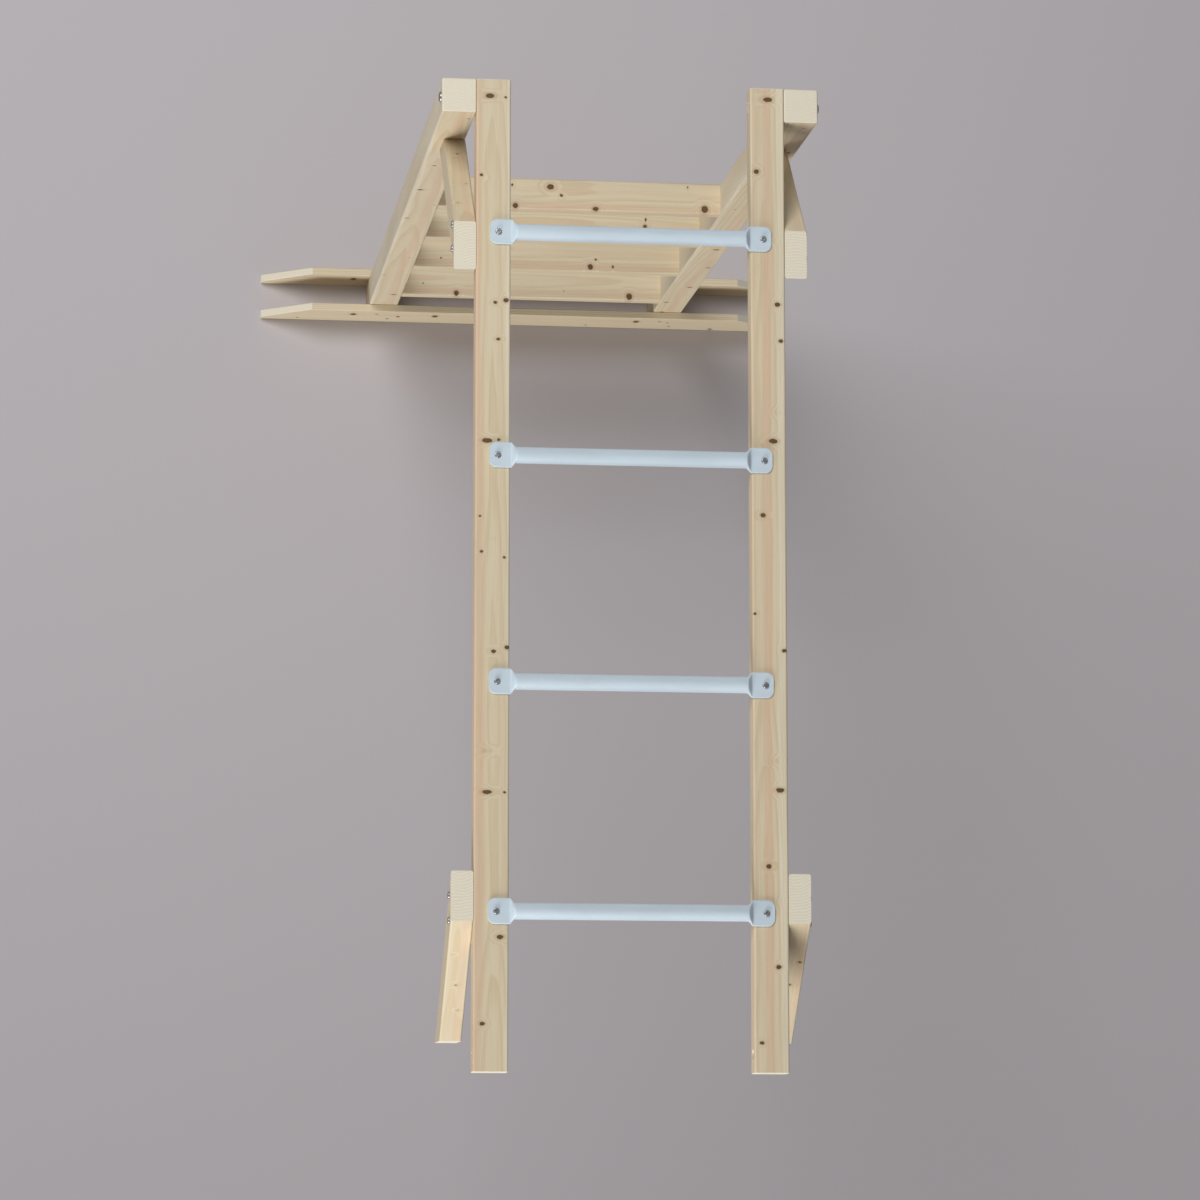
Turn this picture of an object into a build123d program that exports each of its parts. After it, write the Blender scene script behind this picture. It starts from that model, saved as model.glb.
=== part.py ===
from build123d import *
from math import pi, sqrt
import os

# Monkey bars: four steel rungs on two timber rails. A climbing frame of posts, treads and foot planks
# carries the far end, and the posts of a play tower carry the near end.
# Millimetres. +Z is up, X runs across the ladder and +Y runs from the tower to the climbing frame.
# The origin is on the ground, at the middle of the footprint.

os.makedirs("parts", exist_ok=True)

# Overall sizes
ladder_length = 2000            # rails, end to end
top_height = 2000               # ground to the tops of rails and posts
rail_gap = 490                  # clear width between the rails

# Timber sections
rail_width = 70
rail_depth = 45
post_size = 70
brace_thickness = 45            # across the ladder
brace_depth = 70                # square to the brace's slope
tread_thickness = 28
plank_length = 1290
plank_height = 120
plank_thickness = 18
timber_arris = 4                # rounded long edges of rails, posts, braces and treads
plank_arris = 2
end_break = 1.5                 # small chamfer round sawn ends
post_top_arris = 3

# Foot plank ends
plank_slope_length = 120
plank_tip_height = 20

# Treads
tread_count = 4
first_tread_top = 240
tread_pitch = 310

# Knee braces
brace_reach = 325               # post face to the brace's tip, along the rail

# Rungs
rung_count = 4
rung_inset = 316                # rail end to the nearest rung's centre
rung_diameter = 33
rung_wall = 2
pad_overlap = 41.5              # pad on top of the rail
pad_corner = 14
pad_overhang = 1                # flat part that passes the rail's inner edge
press_length = 12               # from the flat to the full round
drain_radius = 3
drain_inset = 12                # from the end of the tube's round part

# Wood screws: head radius, shank radius, length and head height
pad_screw = (6.5, 3, 40, 3.5)
brace_screw = (7, 3, 80, 4)
tread_screw = (6, 3, 120, 3)
plank_screw = (5, 2.5, 60, 2.5)
screw_tip = 6                   # length of the pointed end
head_round = 2                  # rounding of a pan head's rim
socket_radius = 2.2
socket_depth = 2
hex_sides = 6
countersink_angle = 90
screw_clearance = 0.1           # radial, between a shank and its hole
pad_hole_clearance = 0.5        # radial, between the pad's hole and its screw
head_clearance = 0.5            # radial, round a head that sits in a counterbore
tip_room = 2                    # hole depth past a screw's point
sink = 0.3                      # countersunk heads lie this far below the wood

# Screw places
pad_screw_inset = 16.5          # pad's end to its screw
brace_screw_spread = 50         # between the two screws into the rail
brace_toe_height = 45           # brace's lowest point to its screw into the post
brace_toe_cover = 25            # wood between the post and that screw's head
tread_screw_spread = 36
plank_screw_spread = 30
plank_screw_rise = 50
plank_screw_low = 35

# Carriage bolts
bolt_radius = 5
bolt_clearance = 0.25           # radial, in the timber
thread_clearance = 0.05         # radial, in the nut
dome_radius = 11
dome_height = 5
dome_round = 4.5                # less than the dome's height
neck_width = 10
neck_depth = 5
washer_radius = 12
washer_thickness = 2
nut_flats = 17
nut_thickness = 8
nut_pocket_depth = 14
nut_pocket_clearance = 1        # radial, round the washer
bolt_end_room = 2               # from the rail's inner face back to the bolt's end

# Places that follow from the sizes above
rail_inner_x = rail_gap / 2
rail_outer_x = rail_inner_x + rail_width
rail_centre_x = rail_inner_x + rail_width / 2
rail_centre_z = top_height - rail_depth / 2
post_centre_x = rail_outer_x + post_size / 2
post_outer_x = rail_outer_x + post_size
far_end_y = (ladder_length - plank_thickness) / 2
near_end_y = far_end_y - ladder_length
post_centre_y = far_end_y - post_size / 2
near_post_y = near_end_y + post_size / 2
post_face_y = far_end_y - post_size
tower_face_y = near_end_y + post_size
brace_cut = brace_depth * sqrt(2)
brace_centre_x = rail_outer_x + brace_thickness / 2
brace_toe_z = top_height - brace_reach + brace_toe_height
rung_pitch = (ladder_length - 2 * rung_inset) / (rung_count - 1)
rung_ys = [far_end_y - rung_inset - i * rung_pitch for i in range(rung_count)]
tread_tops = [first_tread_top + i * tread_pitch for i in range(tread_count)]
tread_depth = post_size
pad_thickness = 2 * rung_wall
pad_width = pi * rung_diameter / 2
pad_end_x = rail_inner_x + pad_overlap
pad_screw_x = pad_end_x - pad_screw_inset
flat_start_x = rail_inner_x - pad_overhang
round_end_x = flat_start_x - press_length
rung_centre_z = top_height + pad_thickness / 2
bolt_hole_radius = bolt_radius + bolt_clearance
nut_pocket_radius = washer_radius + nut_pocket_clearance
pocket_floor_x = rail_inner_x + nut_pocket_depth

sides = (("left", -1), ("right", 1))
ends = (("far", post_face_y, 1), ("near", tower_face_y, -1))


def facing(x, y, z, direction):
    """A plane at a point of a surface, looking out along the direction."""
    return Plane(origin=(x, y, z), z_dir=direction)


def save(piece, name):
    """Label a finished sub-part and write it under its own name."""
    piece.part.label = name
    export_step(piece.part, f"parts/{name}.step")


def wood_screw(size, countersunk):
    """A screw that points down, with the wood's surface at its Z of 0."""
    head_radius, shank_radius, length, head_height = size
    top = -sink if countersunk else head_height
    shoulder = -sink - (head_radius - shank_radius) if countersunk else 0
    with BuildPart() as screw:
        with BuildSketch(Plane.XZ):
            with BuildLine():
                if countersunk:
                    Polyline((0, top), (head_radius, top), (shank_radius, shoulder))
                else:
                    Polyline((0, top), (head_radius - head_round, top))
                    Polyline((head_radius, top - head_round), (head_radius, 0), (shank_radius, 0))
                    RadiusArc((head_radius - head_round, top), (head_radius, top - head_round), head_round)
                Polyline((shank_radius, shoulder), (shank_radius, screw_tip - length), (0, -length), (0, top))
            make_face()
        revolve(axis=Axis.Z)
        with BuildSketch(Plane.XY.offset(top)):
            RegularPolygon(socket_radius, hex_sides)
        extrude(amount=-socket_depth, mode=Mode.SUBTRACT)
    return screw.part


def brace_screw_points(face_y, to_post):
    """Places on a brace's side where its two screws go into the rail."""
    middle = brace_reach - (brace_cut + rail_depth) / 2
    return [
        (face_y - to_post * (middle + offset), rail_centre_z)
        for offset in (-brace_screw_spread / 2, brace_screw_spread / 2)
    ]


def tread_screw_points():
    """Places on a post's side where screws go into the tread ends."""
    return [
        (post_centre_y + offset, tread_top - tread_thickness / 2)
        for tread_top in tread_tops
        for offset in (-tread_screw_spread / 2, tread_screw_spread / 2)
    ]


def plank_screw_points(sign, outward):
    """Places on a foot plank where screws go into one post."""
    low_x = sign * post_centre_x - outward * plank_screw_spread / 2
    high_x = sign * post_centre_x + outward * plank_screw_spread / 2
    return [(low_x, plank_screw_low), (high_x, plank_screw_low + plank_screw_rise)]


# Rails, laid flat
for side, sign in sides:
    with BuildPart() as rail:
        with BuildSketch(Plane.XZ.offset(-far_end_y)):
            with Locations((sign * rail_centre_x, rail_centre_z)):
                RectangleRounded(rail_width, rail_depth, timber_arris)
        extrude(amount=ladder_length)
        chamfer(rail.faces().filter_by(Axis.Y).edges(), end_break)
        # Bolt holes at both ends, with a pocket for the washer and nut on the inner side
        for y in (post_centre_y, near_post_y):
            with Locations(facing(sign * rail_inner_x, y, rail_centre_z, (-sign, 0, 0))):
                CounterBoreHole(bolt_hole_radius, nut_pocket_radius, nut_pocket_depth, rail_width)
        # Pilot holes for the pad screws
        with Locations(*[facing(sign * pad_screw_x, y, top_height, (0, 0, 1)) for y in rung_ys]):
            Hole(pad_screw[1] + screw_clearance, pad_screw[2] - pad_thickness + tip_room)
        # Pilot holes for the brace screws
        for _, face_y, to_post in ends:
            points = brace_screw_points(face_y, to_post)
            with Locations(*[facing(sign * rail_outer_x, y, z, (sign, 0, 0)) for y, z in points]):
                Hole(brace_screw[1] + screw_clearance, brace_screw[2] - brace_thickness + tip_room)
    save(rail, f"rail_{side}")

# Posts, on the outer sides of the rails
for side, sign in sides:
    with BuildPart() as post:
        with BuildSketch(Plane.XY):
            with Locations((sign * post_centre_x, post_centre_y)):
                RectangleRounded(post_size, post_size, timber_arris)
        extrude(amount=top_height)
        fillet(post.faces().sort_by(Axis.Z)[-1].edges(), post_top_arris)
        chamfer(post.faces().sort_by(Axis.Z)[0].edges(), end_break)
        # Bolt hole to the rail, with a square recess for the bolt's neck
        with Locations(facing(sign * post_outer_x, post_centre_y, rail_centre_z, (sign, 0, 0))):
            Hole(bolt_hole_radius, post_size)
        with BuildSketch(facing(sign * post_outer_x, post_centre_y, rail_centre_z, (sign, 0, 0))):
            Rectangle(neck_width + 2 * bolt_clearance, neck_width + 2 * bolt_clearance)
        extrude(amount=-neck_depth - bolt_clearance, mode=Mode.SUBTRACT)
        # Countersunk holes for the tread screws
        outer_face = [facing(sign * post_outer_x, y, z, (sign, 0, 0)) for y, z in tread_screw_points()]
        with Locations(*outer_face):
            CounterSinkHole(
                tread_screw[1] + screw_clearance,
                tread_screw[0] + sink,
                post_size,
                counter_sink_angle=countersink_angle,
            )
        # Pilot holes for the foot planks' screws, front and back
        for surface_y, outward in ((post_face_y, -1), (far_end_y, 1)):
            points = plank_screw_points(sign, outward)
            with Locations(*[facing(x, surface_y, z, (0, outward, 0)) for x, z in points]):
                Hole(plank_screw[1] + screw_clearance, plank_screw[2] - plank_thickness + tip_room)
        # Pilot hole for the brace's toe screw
        with Locations(facing(sign * brace_centre_x, post_face_y, brace_toe_z, (0, -1, 0))):
            Hole(brace_screw[1] + screw_clearance, brace_screw[2] - brace_toe_cover + tip_room)
    save(post, f"post_{side}")

# Knee braces: far ones against the posts, near ones for the tower's posts
for end, face_y, to_post in ends:
    for side, sign in sides:
        tip = face_y - to_post * brace_reach
        with BuildPart() as brace:
            with BuildSketch(Plane.YZ.offset(sign * brace_centre_x - brace_thickness / 2)):
                with BuildLine():
                    Polyline(
                        (tip, top_height),
                        (tip + to_post * brace_cut, top_height),
                        (face_y, top_height - brace_reach + brace_cut),
                        (face_y, top_height - brace_reach),
                        close=True,
                    )
                make_face()
            extrude(amount=brace_thickness)
            fillet(brace.edges().filter_by(Axis((0, 0, 0), (0, -to_post, 1))), timber_arris)
            # Holes for the two screws into the rail
            points = brace_screw_points(face_y, to_post)
            outer_x = sign * (rail_outer_x + brace_thickness)
            with Locations(*[facing(outer_x, y, z, (sign, 0, 0)) for y, z in points]):
                Hole(brace_screw[1] + screw_clearance, brace_thickness)
            # Level hole at the toe, with a pocket for the screw's head
            pocket_depth = brace_toe_height - brace_toe_cover + brace_screw[0] + head_clearance
            mouth_y = face_y - to_post * (brace_toe_cover + pocket_depth)
            with Locations(facing(sign * brace_centre_x, mouth_y, brace_toe_z, (0, -to_post, 0))):
                CounterBoreHole(
                    brace_screw[1] + screw_clearance,
                    brace_screw[0] + head_clearance,
                    pocket_depth,
                    brace_toe_cover + pocket_depth,
                )
        save(brace, f"brace_{end}_{side}")

# Treads between the posts
for number, tread_top in enumerate(tread_tops, start=1):
    with BuildPart() as tread:
        with BuildSketch(Plane.YZ.offset(-rail_outer_x)):
            with Locations((post_centre_y, tread_top - tread_thickness / 2)):
                RectangleRounded(tread_depth, tread_thickness, timber_arris)
        extrude(amount=2 * rail_outer_x)
        for offset in (-tread_screw_spread / 2, tread_screw_spread / 2):
            for _, sign in sides:
                centre_z = tread_top - tread_thickness / 2
                with Locations(facing(sign * rail_outer_x, post_centre_y + offset, centre_z, (sign, 0, 0))):
                    Hole(tread_screw[1] + screw_clearance, tread_screw[2] - post_size + tip_room)
    save(tread, f"tread_{number}")

# Foot planks on edge, in front of the posts and behind them
for name, inner_y, outward in (("foot_plank_front", post_face_y, -1), ("foot_plank_back", far_end_y, 1)):
    with BuildPart() as plank:
        with BuildSketch(Plane.XZ.offset(-max(inner_y, inner_y + outward * plank_thickness))):
            with BuildLine():
                Polyline(
                    (-plank_length / 2, 0),
                    (plank_length / 2, 0),
                    (plank_length / 2, plank_tip_height),
                    (plank_length / 2 - plank_slope_length, plank_height),
                    (plank_slope_length - plank_length / 2, plank_height),
                    (-plank_length / 2, plank_tip_height),
                    close=True,
                )
            make_face()
        extrude(amount=plank_thickness)
        fillet(plank.faces().filter_by(Axis.Y).edges(), plank_arris)
        for _, sign in sides:
            outer_y = inner_y + outward * plank_thickness
            points = plank_screw_points(sign, outward)
            with Locations(*[facing(x, outer_y, z, (0, outward, 0)) for x, z in points]):
                CounterSinkHole(
                    plank_screw[1] + screw_clearance,
                    plank_screw[0] + sink,
                    plank_thickness,
                    counter_sink_angle=countersink_angle,
                )
    save(plank, name)

# Rungs: tube with both ends pressed flat
for number, rung_y in enumerate(rung_ys, start=1):
    with BuildPart() as rung:
        with BuildSketch(Plane.YZ.offset(-round_end_x)):
            with Locations((rung_y, rung_centre_z)):
                Circle(rung_diameter / 2)
        extrude(amount=2 * round_end_x)
        for _, sign in sides:
            with BuildSketch(Plane.YZ.offset(sign * round_end_x)):
                with Locations((rung_y, rung_centre_z)):
                    Circle(rung_diameter / 2)
            with BuildSketch(Plane.YZ.offset(sign * flat_start_x)):
                with Locations((rung_y, rung_centre_z)):
                    SlotOverall(pad_width, pad_thickness)
            loft()
            with BuildSketch(Plane.YZ.offset(sign * flat_start_x)):
                with Locations((rung_y, rung_centre_z)):
                    SlotOverall(pad_width, pad_thickness)
            extrude(amount=sign * (pad_end_x - flat_start_x))
        # Rounded outline of the pads, seen from above
        with BuildSketch(Plane.XY.offset(rung_centre_z)):
            with Locations((0, rung_y)):
                RectangleRounded(2 * pad_end_x, pad_width, pad_corner)
        extrude(amount=rung_diameter, both=True, mode=Mode.INTERSECT)
        # Hollow of the tube, with a drain hole under each end
        with BuildSketch(Plane.YZ.offset(-round_end_x)):
            with Locations((rung_y, rung_centre_z)):
                Circle(rung_diameter / 2 - rung_wall)
        extrude(amount=2 * round_end_x, mode=Mode.SUBTRACT)
        for _, sign in sides:
            drain_x = sign * (round_end_x - drain_inset)
            with Locations(facing(drain_x, rung_y, rung_centre_z - rung_diameter / 2, (0, 0, -1))):
                Hole(drain_radius, 2 * rung_wall)
            with Locations(facing(sign * pad_screw_x, rung_y, top_height + pad_thickness, (0, 0, 1))):
                Hole(pad_screw[1] + pad_hole_clearance, pad_thickness)
    save(rung, f"rung_{number}")

# Screws: each kind is one group of separate solids
brace_screw_solid = wood_screw(brace_screw, countersunk=False)

with BuildPart() as rung_screws:
    with Locations(*[(sign * pad_screw_x, y, top_height + pad_thickness) for _, sign in sides for y in rung_ys]):
        add(wood_screw(pad_screw, countersunk=False))
save(rung_screws, "rung_screws")

with BuildPart() as brace_rail_screws:
    for _, face_y, to_post in ends:
        for _, sign in sides:
            outer_x = sign * (rail_outer_x + brace_thickness)
            points = brace_screw_points(face_y, to_post)
            with Locations(*[facing(outer_x, y, z, (sign, 0, 0)) for y, z in points]):
                add(brace_screw_solid)
save(brace_rail_screws, "brace_rail_screws")

with BuildPart() as brace_post_screws:
    seat_y = post_face_y - brace_toe_cover
    with Locations(*[facing(sign * brace_centre_x, seat_y, brace_toe_z, (0, -1, 0)) for _, sign in sides]):
        add(brace_screw_solid)
save(brace_post_screws, "brace_post_screws")

with BuildPart() as tread_screws:
    for _, sign in sides:
        with Locations(*[facing(sign * post_outer_x, y, z, (sign, 0, 0)) for y, z in tread_screw_points()]):
            add(wood_screw(tread_screw, countersunk=True))
save(tread_screws, "tread_screws")

with BuildPart() as plank_screws:
    for surface_y, outward in ((post_face_y, -1), (far_end_y, 1)):
        outer_y = surface_y + outward * plank_thickness
        for _, sign in sides:
            points = plank_screw_points(sign, outward)
            with Locations(*[facing(x, outer_y, z, (0, outward, 0)) for x, z in points]):
                add(wood_screw(plank_screw, countersunk=True))
save(plank_screws, "plank_screws")

# Carriage bolts through posts and rails, with their washers and nuts in the rails' pockets
with BuildPart() as post_bolts:
    for _, sign in sides:
        outer_face = facing(sign * post_outer_x, post_centre_y, rail_centre_z, (sign, 0, 0))
        with BuildSketch(outer_face):
            Rectangle(neck_width, neck_width)
        extrude(amount=-neck_depth)
        with BuildSketch(outer_face):
            Circle(bolt_radius)
        extrude(amount=-(post_outer_x - rail_inner_x - bolt_end_room))
        with BuildSketch(outer_face):
            Circle(dome_radius)
        extrude(amount=dome_height)
    for group in (0, -1):
        fillet(post_bolts.edges().filter_by(GeomType.CIRCLE).group_by(Axis.X)[group], dome_round)
save(post_bolts, "post_bolts")

with BuildPart() as post_washers:
    for _, sign in sides:
        with BuildSketch(facing(sign * pocket_floor_x, post_centre_y, rail_centre_z, (-sign, 0, 0))):
            Circle(washer_radius)
            Circle(bolt_radius + bolt_clearance, mode=Mode.SUBTRACT)
        extrude(amount=washer_thickness)
save(post_washers, "post_washers")

with BuildPart() as post_nuts:
    for _, sign in sides:
        nut_x = sign * (pocket_floor_x - washer_thickness)
        with BuildSketch(facing(nut_x, post_centre_y, rail_centre_z, (-sign, 0, 0))):
            RegularPolygon(nut_flats / 2, hex_sides, major_radius=False)
            Circle(bolt_radius + thread_clearance, mode=Mode.SUBTRACT)
        extrude(amount=nut_thickness)
save(post_nuts, "post_nuts")
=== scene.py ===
import math
import random

import bmesh
import bpy
from bpy.props import FloatProperty, FloatVectorProperty, IntProperty, PointerProperty
from bpy.types import Operator, Panel, PropertyGroup
from mathutils import Matrix, Vector


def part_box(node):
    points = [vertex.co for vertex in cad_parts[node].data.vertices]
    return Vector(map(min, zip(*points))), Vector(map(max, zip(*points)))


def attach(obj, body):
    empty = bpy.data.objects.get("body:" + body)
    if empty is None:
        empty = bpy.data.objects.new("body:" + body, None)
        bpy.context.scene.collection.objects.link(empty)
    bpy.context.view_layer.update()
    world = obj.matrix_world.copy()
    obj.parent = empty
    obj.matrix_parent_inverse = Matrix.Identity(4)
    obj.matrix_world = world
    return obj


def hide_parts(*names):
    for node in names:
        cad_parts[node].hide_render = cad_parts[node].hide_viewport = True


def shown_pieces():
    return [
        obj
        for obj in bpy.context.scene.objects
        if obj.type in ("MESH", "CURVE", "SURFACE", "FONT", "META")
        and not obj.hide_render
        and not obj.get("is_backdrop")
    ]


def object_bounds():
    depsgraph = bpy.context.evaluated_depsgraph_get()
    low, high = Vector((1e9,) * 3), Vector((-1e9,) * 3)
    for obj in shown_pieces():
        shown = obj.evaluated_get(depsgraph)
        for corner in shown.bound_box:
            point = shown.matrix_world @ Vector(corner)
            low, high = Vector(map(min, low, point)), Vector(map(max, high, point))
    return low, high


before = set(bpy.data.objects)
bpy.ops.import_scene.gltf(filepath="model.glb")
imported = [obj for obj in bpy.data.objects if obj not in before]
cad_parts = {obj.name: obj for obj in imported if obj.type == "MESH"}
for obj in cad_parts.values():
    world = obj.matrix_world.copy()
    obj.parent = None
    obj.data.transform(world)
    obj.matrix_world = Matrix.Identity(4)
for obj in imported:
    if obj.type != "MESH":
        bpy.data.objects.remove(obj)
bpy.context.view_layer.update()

bl_info = {
    "name": "Monkey bars",
    "version": (1, 0, 0),
    "blender": (4, 5, 0),
    "location": "3D View > Sidebar > Monkey bars",
    "description": "Finishes the timber, the rungs and the fasteners of a set of monkey bars",
    "category": "Object",
}

MM = 0.001
WELD = 0.002 * MM  # points closer than this become one
SHARP_FROM = 0.6  # radians between two faces
FLOOR_REACH = 30
AIM_HEIGHT = 0.75  # of the top's height, the point that the camera looks at
UP = Vector((0, 0, 1))
RIGHT = Vector((1, 0, 0))
ALONG = Vector((0, 1, 0))


# ---------------------------------------------------------------- settings a user would change


class TimberSettings(PropertyGroup):
    sapwood: FloatVectorProperty(
        name="Sapwood", description="Colour of the pale wood between the growth lines",
        subtype="COLOR", size=3, min=0, max=1, default=(0.66, 0.565, 0.395))
    latewood: FloatVectorProperty(
        name="Latewood", description="Colour of the growth lines",
        subtype="COLOR", size=3, min=0, max=1, default=(0.53, 0.385, 0.215))
    heartwood: FloatVectorProperty(
        name="Heartwood", description="Colour of the warm bands that run along a board",
        subtype="COLOR", size=3, min=0, max=1, default=(0.64, 0.455, 0.31))
    # Also the colour of the pale bands painted along some arrises as highlights.
    end_grain_and_highlight: FloatVectorProperty(
        name="End grain", description="Colour of the sawn ends",
        subtype="COLOR", size=3, min=0, max=1, default=(0.76, 0.715, 0.585))
    knot: FloatVectorProperty(
        name="Knots", description="Colour of the middle of a knot",
        subtype="COLOR", size=3, min=0, max=1, default=(0.085, 0.045, 0.022))
    ring_spacing: FloatProperty(
        name="Growth ring spacing", description="Average distance between growth lines",
        unit="LENGTH", min=0.001, max=0.02, default=0.0042)


class RungSettings(PropertyGroup):
    coat: FloatVectorProperty(
        name="Coat", description="Colour of the powder coat on the rungs",
        subtype="COLOR", size=3, min=0, max=1, default=(0.555, 0.65, 0.72))
    facets: IntProperty(
        name="Facets", description="Faces round a rung", min=16, max=128, default=64)
    wall: FloatProperty(
        name="Wall", description="Thickness of the tube's wall",
        unit="LENGTH", min=0.001, max=0.005, default=0.002)
    press: FloatProperty(
        name="Press length", description="Length of the change from round to flat",
        unit="LENGTH", min=0.004, max=0.05, default=0.012)
    overhang: FloatProperty(
        name="Overhang", description="How far the flat part passes the rail's inner edge",
        unit="LENGTH", min=0, max=0.01, default=0.001)
    corner: FloatProperty(
        name="Pad corner", description="Radius of the pads' corners seen from above",
        unit="LENGTH", min=0.001, max=0.02, default=0.014)
    drain: FloatProperty(
        name="Drain hole", description="Radius of the hole under each end",
        unit="LENGTH", min=0.001, max=0.005, default=0.003)
    drain_inset: FloatProperty(
        name="Drain inset", description="From the end of the round tube to the drain hole",
        unit="LENGTH", min=0.005, max=0.05, default=0.012)


class FastenerSettings(PropertyGroup):
    zinc: FloatVectorProperty(
        name="Zinc", description="Colour of the plated screws, bolts, washers and nuts",
        subtype="COLOR", size=3, min=0, max=1, default=(0.36, 0.37, 0.385))
    facets: IntProperty(
        name="Facets", description="Faces round a screw", min=12, max=96, default=40)
    seed: IntProperty(
        name="Turn seed", description="Picks how far each screw was turned", min=0, default=7)


class StageSettings(PropertyGroup):
    floor: FloatVectorProperty(
        name="Floor", description="Colour of the floor",
        subtype="COLOR", size=3, min=0, max=1, default=(0.66, 0.62, 0.645))
    daylight: FloatProperty(
        name="Daylight", description="Strength of the light from all round",
        min=0, max=10, default=0.25)
    softbox: FloatProperty(
        name="Softbox", description="Power of the large light overhead, in watts",
        min=0, max=5000, default=305)
    softbox_place: FloatVectorProperty(
        name="Softbox place",
        description="Where the large light hangs, from the middle of the monkey bars",
        subtype="XYZ", unit="LENGTH", size=3, default=(-2.6, 3.2, 6.5))
    softbox_size: FloatProperty(
        name="Softbox size", description="Width of the large light and of the low one",
        unit="LENGTH", min=0.1, max=20, default=4.0)
    fill: FloatProperty(
        name="Fill", description="Power of the low light on the tower's side, in watts",
        min=0, max=5000, default=540)
    fill_place: FloatVectorProperty(
        name="Fill place", description="Where the low light stands, from the middle of the monkey bars",
        subtype="XYZ", unit="LENGTH", size=3, default=(-2.6, -7.2, 2.4))
    viewpoint: FloatVectorProperty(
        name="Viewpoint", description="Where the camera stands: high above the tower's side",
        subtype="XYZ", unit="LENGTH", size=3, default=(-1.1825, -1.307, 10.555))
    lens: FloatProperty(name="Lens", description="Focal length in millimetres", min=10, max=400, default=131)


# ---------------------------------------------------------------- node trees


class Graph:
    """Adds nodes to a tree. A value that is a socket is linked, and any other value is set on the input."""

    def __init__(self, tree):
        self.tree = tree

    def feed(self, socket, value):
        if isinstance(value, bpy.types.NodeSocket):
            self.tree.links.new(value, socket)
        else:
            socket.default_value = value

    def node(self, kind, values=(), named=None, **settings):
        made = self.tree.nodes.new(kind)
        for key, value in settings.items():
            setattr(made, key, value)
        for key, value in [*enumerate(values), *(named or {}).items()]:
            self.feed(made.inputs[key], value)
        return made

    def add(self, kind, values=(), named=None, **settings):
        return self.node(kind, values, named, **settings).outputs[0]

    def math(self, operation, *values):
        return self.add("ShaderNodeMath", values, operation=operation)

    def plus(self, first, second):
        return self.math("ADD", first, second)

    def minus(self, first, second):
        return self.math("SUBTRACT", first, second)

    def times(self, first, second):
        return self.math("MULTIPLY", first, second)

    def vector(self, operation, *values):
        made = self.node("ShaderNodeVectorMath", values, operation=operation)
        return made.outputs["Value" if operation in {"LENGTH", "DOT_PRODUCT"} else "Vector"]

    def noise(self, place, scale, detail=2.0, roughness=0.5, stretch=(1, 1, 1)):
        stretched = self.vector("MULTIPLY", place, stretch)
        return self.node(
            "ShaderNodeTexNoise",
            named={"Vector": stretched, "Scale": scale, "Detail": detail, "Roughness": roughness})

    def span(self, value, low, high, to_low=0.0, to_high=1.0, ease="SMOOTHSTEP"):
        return self.add("ShaderNodeMapRange", (value, low, high, to_low, to_high), interpolation_type=ease)

    def blend(self, factor, first, second, way="MIX"):
        """Mixes two colours, which are sockets or red, green and blue."""
        made = self.node("ShaderNodeMix", data_type="RGBA", blend_type=way)
        self.feed(made.inputs[0], factor)
        for index, colour in ((6, first), (7, second)):
            if not isinstance(colour, bpy.types.NodeSocket):
                colour = (*colour, 1.0)
            self.feed(made.inputs[index], colour)
        return made.outputs[2]

    def shade(self, colour, tone):
        """A colour made lighter or darker by a number round 1."""
        return self.blend(1.0, colour, self.add("ShaderNodeCombineXYZ", (tone, tone, tone)), "MULTIPLY")


def new_material(name):
    """An empty material, with its graph and its surface shader."""
    material = bpy.data.materials.new(name)
    material.use_nodes = True
    graph = Graph(material.node_tree)
    shader = material.node_tree.nodes["Principled BSDF"]
    return material, graph, shader


def finish_surface(graph, shader, colour, roughness, normal):
    """Feeds a surface shader with its colour, its roughness and its relief."""
    for label, value in (("Base Color", colour), ("Roughness", roughness), ("Normal", normal)):
        graph.feed(shader.inputs[label], value)


def finish_node(node, material):
    """Gives a carried-over node its material in every slot."""
    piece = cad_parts[node]
    piece.data.materials.clear()
    piece.data.materials.append(material)


def numbered(stem):
    """The nodes that are called by a stem and a number, such as rung_1."""
    start = len(stem) + 1
    return [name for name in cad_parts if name.startswith(stem + "_") and name[start:].isdigit()]


# ---------------------------------------------------------------- spruce


class Lie:
    """How a board lies: its middle, the way its grain runs and the way across its face."""

    def __init__(self, node, grain, across):
        low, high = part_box(node)
        self.middle = (low + high) / 2
        self.grain = grain.normalized()
        across = across.normalized()
        self.turn = Matrix((across, self.grain.cross(across), self.grain))
        self.width, self.depth, self.length = (
            sum(abs(side) * reach for side, reach in zip(way, high - low)) for way in self.turn)


def knot_distance(graph, place, knots):
    """Distance to the nearest knot, counted in that knot's own radii and never over 9."""
    nearest = 9.0
    for middle, radii in knots:
        local = graph.add(
            "ShaderNodeMapping",
            named={"Vector": place, "Location": middle, "Scale": radii},
            vector_type="TEXTURE")
        nearest = graph.math("MINIMUM", nearest, graph.vector("LENGTH", local))
    return nearest


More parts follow.
